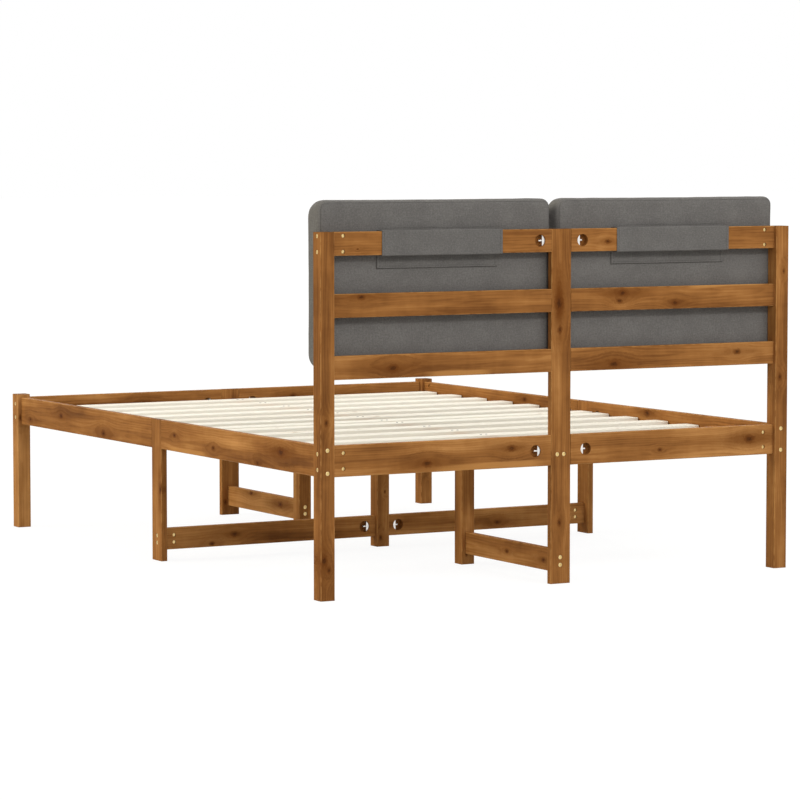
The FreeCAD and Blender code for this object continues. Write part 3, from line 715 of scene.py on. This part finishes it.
def buildCushion(side):
    low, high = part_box(f"cushion_cover_{side}")
    width, height = high.x - low.x, high.z - low.z
    depth = high.y - low.y - cushion["crown"]
    middleX, middleZ = (low.x + high.x)/2, (low.z + high.z)/2
    halfX, halfZ, edge = width/2, height/2, cushion["edge"]
    across, deep = spread(width, cushion["meshStep"]), spread(depth, cushion["sideMeshStep"])
    up = spread(height, cushion["meshStep"])
    lastX, lastY, lastZ = len(across) - 1, len(deep) - 1, len(up) - 1
    built = bmesh.new()
    grid, origins = {}, {}
    for i, startX in enumerate(across):
        for j, startY in enumerate(deep):
            for k, startZ in enumerate(up):
                if i not in (0, lastX) and j not in (0, lastY) and k not in (0, lastZ):
                    continue
                x, z = startX - halfX, startZ - halfZ
                forward = max(0, min(1, (startY - edge)/(depth - 2*edge)))
                corner = cushion["backCorner"] + (cushion["corner"] - cushion["backCorner"])*forward
                signX, signZ = math.copysign(1, x), math.copysign(1, z)
                inX, inZ = abs(x) - (halfX - corner), abs(z) - (halfZ - corner)
                toSide = min(halfX - abs(x), halfZ - abs(z))
                if inX > 0 and inZ > 0:
                    reach = math.hypot(inX, inZ)
                    away = Vector((signX*inX/reach, 0, signZ*inZ/reach))
                    share = max(inX, inZ)/reach
                    x, z = signX*(halfX - corner + inX*share), signZ*(halfZ - corner + inZ*share)
                elif halfX - abs(x) < halfZ - abs(z):
                    away = Vector((signX, 0, 0))
                else:
                    away = Vector((0, 0, signZ))
                fade = max(0, 1 - toSide/cushion["pullReach"])
                x -= signX*cushion["pull"]*fade*(1 - (z/halfZ)**2)*(abs(away.x) > 0.5)
                z -= signZ*cushion["pull"]*fade*(1 - (x/halfX)**2)*(abs(away.z) > 0.5)
                toFace = min(startY, depth - startY)
                y = startY
                if toSide < edge and toFace < edge:
                    outX, outY = edge - toSide, edge - toFace
                    reach = math.hypot(outX, outY)
                    shiftIn = edge*(1 - outX/reach) - toSide
                    x, z = x - away.x*shiftIn, z - away.z*shiftIn
                    turned = edge*(1 - outY/reach)
                    y = turned if startY < depth/2 else depth - turned
                lift = 1 - (1 - min(toSide/cushion["crownReach"], 1))**2
                y += cushion["crown"]*cushion["crownShare"]*lift*(startY/depth)
                vert = built.verts.new((middleX + x, high.y - y, middleZ + z))
                grid[i, j, k] = vert
                origins[vert] = (toSide, startY)
    built.verts.index_update()
    sides = []
    for j in (0, lastY):
        sides += [[(i, j, k), (i + 1, j, k), (i + 1, j, k + 1), (i, j, k + 1)]
                  for i in range(lastX) for k in range(lastZ)]
    for i in (0, lastX):
        sides += [[(i, j, k), (i, j + 1, k), (i, j + 1, k + 1), (i, j, k + 1)]
                  for j in range(lastY) for k in range(lastZ)]
    for k in (0, lastZ):
        sides += [[(i, j, k), (i + 1, j, k), (i + 1, j + 1, k), (i, j + 1, k)]
                  for i in range(lastX) for j in range(lastY)]
    layer = built.loops.layers.uv.new("cloth")
    for corners in sides:
        face = built.faces.new([grid[corner] for corner in corners])
        steady = [len({corner[axis] for corner in corners}) == 1 for axis in range(3)]
        for loop, (i, j, k) in zip(face.loops, corners):
            at = {"x": across[i], "y": deep[j], "z": up[k]}
            first, second = [at[axis] for axis, still in zip("xyz", steady) if not still]
            loop[layer].uv = (first + 0.3*steady[0], second + 0.7*steady[2])  # no two sides share a place
    bmesh.ops.recalc_face_normals(built, faces=built.faces)
    seamAt, close = cushion["seamAt"], 1e-5
    seamVerts = [vert.index for vert, (toSide, y) in origins.items()
                 if abs(toSide - seamAt) < close and y in (0, deep[-1])]
    besideSeam = [vert.index for vert, (toSide, y) in origins.items()
                  if abs(abs(toSide - seamAt) - cushion["seamLipAt"]) < close and y in (0, deep[-1])]
    # the back is held still, the front up to its seam almost, and the outline a little
    hold = {}
    for vert, (toSide, y) in origins.items():
        onFront = toSide < seamAt + close and y == deep[-1]
        hold[vert.index] = 1.0 if y == 0 else 0.97 if onFront else 0.6 if toSide < 1e-6 else 0.0
    piece = newPiece(f"cushion_{side}", built)
    paint(piece, cushionCloth)
    start = [vert.co.copy() for vert in piece.data.vertices]
    swell(piece, hold, start)
    shapeSeams(piece, start, seamVerts, besideSeam, hold, side)
    finer = piece.modifiers.new("finer", "SUBSURF")
    finer.levels = finer.render_levels = 1
    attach(piece, f"cushion_{side}")
    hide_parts(f"cushion_cover_{side}", f"cushion_foam_{side}")


# Air pressure swells the front and sides between the seams, which stay where they are.
def swell(piece, hold, start):
    lastFrame = 20
    group = piece.vertex_groups.new(name="held")
    for index, weight in hold.items():
        group.add([index], weight, "REPLACE")
    cloth = piece.modifiers.new("swell", "CLOTH")
    settings = cloth.settings
    settings.quality = 6
    settings.mass = 0.25
    settings.tension_stiffness = settings.compression_stiffness = 25
    settings.bending_stiffness = 0.6
    settings.use_pressure = True
    settings.uniform_pressure_force = cushion["swell"]
    settings.shrink_min = -0.008
    settings.vertex_group_mass = "held"
    settings.effector_weights.gravity = 0
    cloth.point_cache.frame_start, cloth.point_cache.frame_end = 1, lastFrame
    scene = bpy.context.scene
    for moment in range(1, lastFrame + 1):
        scene.frame_set(moment)
    result = piece.evaluated_get(bpy.context.evaluated_depsgraph_get())
    moves = [swollen.co - origin for swollen, origin in zip(result.data.vertices, start)]
    # even out the small wrinkles, and keep the slow swell
    for turn in range(cushion["evenings"]):
        sums = [move.copy() for move in moves]
        counts = [1]*len(moves)
        for edge in piece.data.edges:
            first, second = edge.vertices
            sums[first] += moves[second]
            sums[second] += moves[first]
            counts[first] += 1
            counts[second] += 1
        moves = [total/count for total, count in zip(sums, counts)]
    for index, (vert, origin, move) in enumerate(zip(piece.data.vertices, start, moves)):
        if move.length > cushion["mostSwell"]:
            move = move.normalized()*cushion["mostSwell"]
        vert.co = origin + move*min(1, 3*(1 - hold[index]))
    piece.modifiers.remove(cloth)
    piece.vertex_groups.remove(group)
    scene.frame_set(1)


# Seams sink between two soft lips, and the cloth beside them puckers a little; the seam lines are also marked for
# painted shade in their grooves.
def shapeSeams(piece, start, seamVerts, besideSeam, hold, side):
    mesh = piece.data
    normals = [vert.normal.copy() for vert in mesh.vertices]
    phase = 3.1 if side == "left" else 7.7  # so that the two cushions differ
    for index, vert in enumerate(mesh.vertices):
        if hold[index] < 1:
            pucker = noise.noise(vert.co*26 + Vector((phase, 0, 0))) + 0.5*noise.noise(vert.co*61)
            vert.co += normals[index]*cushion["ripple"]*pucker
    for index in seamVerts:
        mesh.vertices[index].co -= normals[index]*cushion["seamDepth"]
    for index in besideSeam:
        mesh.vertices[index].co += normals[index]*cushion["seamLip"]
    seamShade = mesh.attributes.new("seamShade", "FLOAT", "POINT")
    for index in seamVerts:
        seamShade.data[index].value = 1.0


for side in ("left", "right"):
    buildCushion(side)
print("cushions sewn")

# Straps: one flap from the cushion's back over the top rail, down its back and under it to the patch.
strap = {
    "thickness": 0.0020,
    "bend": 0.0024,
    "hem": 0.009,
    "billow": 0.0004,
    "stitchInset": 0.007,
    "meshStep": 0.004,
    "columns": 60,
}


# A line through corners, rounded off by arcs.
def roundedLine(corners, bend):
    corners = [Vector(corner) for corner in corners]
    points = [corners[0]]
    for before, corner, after in zip(corners, corners[1:], corners[2:]):
        enter, leave = (before - corner).normalized()*bend, (after - corner).normalized()*bend
        for share in (0, 0.2, 0.4, 0.6, 0.8, 1):
            points.append(corner + enter*(1 - share)**2 + leave*share**2)
    points.append(corners[-1])
    fine = [points[0]]
    for point in points[1:]:
        pieces = max(1, round((point - fine[-1]).length/strap["meshStep"]))
        origin = fine[-1]
        fine += [origin.lerp(point, (step + 1)/pieces) for step in range(pieces)]
    return fine


# The direction out of the cloth at one point of its line.
def outOf(line, index):
    before, after = line[max(0, index - 1)], line[min(len(line) - 1, index + 1)]
    run = (after - before).normalized()
    return Vector((0, -run.z, run.y))


# A flap of cloth that follows a line, as wide as lowX to highX; gives the piece and the line's length.
def flapMesh(name, line, lowX, highX, thickness, billow):
    built = bmesh.new()
    layer = built.loops.layers.uv.new("cloth")
    count = strap["columns"]
    rows, lengths = [], [0]
    for before, point in zip(line, line[1:]):
        lengths.append(lengths[-1] + (point - before).length)
    for index, point in enumerate(line):
        out = outOf(line, index)
        row = []
        for step in range(count + 1):
            x = lowX + (highX - lowX)*step/count
            wave = noise.noise(Vector((x*14, lengths[index]*22, lowX*9)))*0.6 + 0.4
            row.append(built.verts.new(Vector((x, point.y, point.z)) + out*billow*max(0, wave)))
        rows.append(row)
    for index in range(len(rows) - 1):
        for step in range(count):
            corners = [(index, step), (index, step + 1), (index + 1, step + 1), (index + 1, step)]
            face = built.faces.new([rows[row][column] for row, column in corners])
            for loop, (row, column) in zip(face.loops, corners):
                loop[layer].uv = ((highX - lowX)*column/count + 0.11, lengths[row] + 0.23)
    piece = newPiece(name, built)
    paint(piece, strapCloth)
    wall = piece.modifiers.new("wall", "SOLIDIFY")
    wall.thickness = thickness
    wall.offset = 0
    soften = piece.modifiers.new("soften", "BEVEL")
    soften.width = thickness*0.35
    soften.segments = 2
    soften.limit_method = "ANGLE"
    soften.angle_limit = math.radians(50)
    return piece, lengths[-1]


# A straight line on the cushion's back, between two places along X and Z.
def straightLine(start, end, y, pieces=60):
    return [Vector((start[0] + (end[0] - start[0])*step/pieces, y, start[1] + (end[1] - start[1])*step/pieces))
            for step in range(pieces + 1)]


for side in ("left", "right"):
    low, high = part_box(f"cushion_strap_{side}")
    patchLow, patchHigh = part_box(f"cushion_patch_{side}")
    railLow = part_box(f"headboard_top_rail_{side}")[0]
    half = strap["thickness"]/2
    tabY = patchHigh.y + 0.0003 + half
    under = railLow.z - 0.0003 - half
    corners = [(0, low.y + half, high.z - half - strap["hem"]), (0, low.y + half, high.z - half),
               (0, high.y - half, high.z - half), (0, high.y - half, under), (0, tabY, under), (0, tabY, low.z)]
    line = roundedLine(corners, strap["bend"])
    flap, length = flapMesh(f"strap_{side}", line, low.x, high.x, strap["thickness"], strap["billow"])
    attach(flap, f"strap_{side}")
    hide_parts(f"cushion_strap_{side}")

    patchLine = [Vector((0, (patchLow.y + patchHigh.y)/2, patchLow.z + (patchHigh.z - patchLow.z)*step/12))
                 for step in range(13)]
    patch, tall = flapMesh(f"patch_{side}", patchLine, patchLow.x, patchHigh.x, patchHigh.y - patchLow.y, 0)
    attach(patch, f"cushion_{side}")
    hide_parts(f"cushion_patch_{side}")

    # seam lines down both edges of the flap and along the bottom of its tab
    inset = strap["stitchInset"]
    outside = [point + outOf(line, index)*(half + 0.0003) for index, point in enumerate(line)]
    edges = [[Vector((x, point.y, point.z)) for point in outside] for x in (low.x + inset, high.x - inset)]
    bottom = low.z + inset*0.7
    edges.append(straightLine((low.x + inset, bottom), (high.x - inset, bottom), tabY + half + 0.0002, 40))
    sew(f"strapStitches_{side}", edges, f"strap_{side}")
    # the seam that holds the flap to the cushion, just above the rail and between the flap's own seams
    seam, seamInset = high.z + 0.005, inset + 0.003
    holding = straightLine((low.x + seamInset, seam), (high.x - seamInset, seam), patchLow.y + 0.0003)
    # the patch's border shows on three sides
    left, right, top, foot = low.x + 0.0008, high.x - 0.0008, railLow.z + 0.004, patchLow.z + 0.0012
    border = [(left, top), (left, foot), (right, foot), (right, top)]
    borders = [straightLine(start, end, patchHigh.y + 0.0002) for start, end in zip(border, border[1:])]
    sew(f"cushionStitches_{side}", [holding] + borders, f"cushion_{side}")
print("straps folded over the rail")


# A white floor that glows a little where it is seen, so it stays white and keeps a faint shadow.
stage = {"floorSize": 60, "bounce": 0.60, "shown": 0.14, "glow": 0.89, "overhead": 0.49, "horizon": 0.44}


# 1 for what the camera, gloss or glass sees, 0 for light on its way
def seenShare(shader):
    rays = shader.node("ShaderNodeLightPath", out="Is Camera Ray")
    return rays.maths("MAXIMUM", rays.other("Is Glossy Ray")).maths("MAXIMUM", rays.other("Is Transmission Ray"))


floorShader = Shader("floor")
shown = floorShader.node("ShaderNodeAddShader", {
    0: floorShader.node("ShaderNodeBsdfDiffuse", {"Color": (stage["shown"],)*3 + (1,)}),
    1: floorShader.node("ShaderNodeEmission", {"Color": (1, 1, 1, 1), "Strength": stage["glow"]})})
bounced = floorShader.node("ShaderNodeBsdfDiffuse", {"Color": (stage["bounce"],)*3 + (1,)})
surface = floorShader.node("ShaderNodeMixShader", {0: seenShare(floorShader), 1: bounced, 2: shown})
floorShader.node("ShaderNodeOutputMaterial", {"Surface": surface})
built = bmesh.new()
bmesh.ops.create_grid(built, x_segments=1, y_segments=1, size=stage["floorSize"])
bmesh.ops.translate(built, vec=(0, 0, -0.0004), verts=built.verts)
floor = paint(newPiece("floor", built, smooth=False), floorShader.material)

# The world: seen as white, and as light a little brighter overhead than at the walls.
world = bpy.data.worlds.new("studio")
bpy.context.scene.world = world
sky = Shader("studio", world)
height = sky.parts(sky.node("ShaderNodeTexCoord", out="Generated"))[2]
strength = sky.node("ShaderNodeMapRange", {
    "Value": height, "From Min": 0.22, "From Max": 0.55, "To Min": stage["horizon"], "To Max": stage["overhead"]},
    interpolation_type="SMOOTHSTEP")
lit = sky.node("ShaderNodeBackground", {"Color": (1, 1, 1, 1), "Strength": strength})
seenWhite = sky.node("ShaderNodeBackground", {"Color": (1, 1, 1, 1)})
surface = sky.node("ShaderNodeMixShader", {0: seenShare(sky), 1: lit, 2: seenWhite})
sky.node("ShaderNodeOutputWorld", {"Surface": surface})

# Flat lamps: a strip behind the headboard and a panel for what the cushions keep from the slats.
flatLamps = {
    "stripLamp": {"place": (-0.40, 3.15, 2.18), "aim": (0.0, 0.945, 0.82), "size": (3.4, 0.30), "power": 31},
    "slatLamp": {"place": (0.0, 0.86, 0.70), "aim": (0.0, -1.0, 0.62), "size": (1.30, 0.56), "power": 1.7},
}
# Soft suns: over the headboard, from the bed's +X side and one for its far sides.
sunLamps = {
    "highLamp": {"place": (0.10, 0.75, 0.66), "strength": 0.80, "softness": 60},
    "sideLamp": {"place": (0.85, -0.25, 0.45), "strength": 1.85, "softness": 30, "colour": (1.0, 0.95, 0.78)},
    "fillLamp": {"place": (-0.60, -0.70, 0.40), "strength": 0.80, "softness": 60},
}
for name, values in (flatLamps | sunLamps).items():
    lamp = bpy.data.lights.new(name, "AREA" if name in flatLamps else "SUN")
    lampObject = addObject(name, lamp)
    lampObject.rotation_mode = "QUATERNION"
    if name in flatLamps:
        lamp.shape = "RECTANGLE"
        lamp.size, lamp.size_y = values["size"]
        lamp.energy = values["power"]
        lampObject.location = values["place"]
        lampObject.visible_camera = lampObject.visible_glossy = False
    else:
        lamp.energy = values["strength"]
        lamp.angle = math.radians(values["softness"])
    lamp.color = values.get("colour", (1, 1, 1))
    shining = Vector(values["place"]) - Vector(values.get("aim", (0, 0, 0)))
    lampObject.rotation_quaternion = shining.to_track_quat("Z", "Y")

# The photograph's camera, with its turn and tilt in degrees and its lens in millimetres.
camera = {"place": (4.7320, 8.5256, 1.1434), "turn": 29.3708, "tilt": 4.2501, "lens": 153.994}
turn, tilt = math.radians(camera["turn"]), math.radians(camera["tilt"])
looking = Vector((-math.sin(turn)*math.cos(tilt), -math.cos(turn)*math.cos(tilt), -math.sin(tilt)))
cameraData = bpy.data.cameras.new("camera")
cameraData.lens = camera["lens"]
cameraData.sensor_width = 36
cameraData.clip_end = 100
cameraObject = addObject("camera", cameraData)
cameraObject.location = camera["place"]
cameraObject.rotation_mode = "QUATERNION"
cameraObject.rotation_quaternion = looking.to_track_quat("-Z", "Y")
bpy.context.scene.camera = cameraObject
bpy.context.scene.view_settings.view_transform = "Standard"
print("stage, lamps and camera ready")
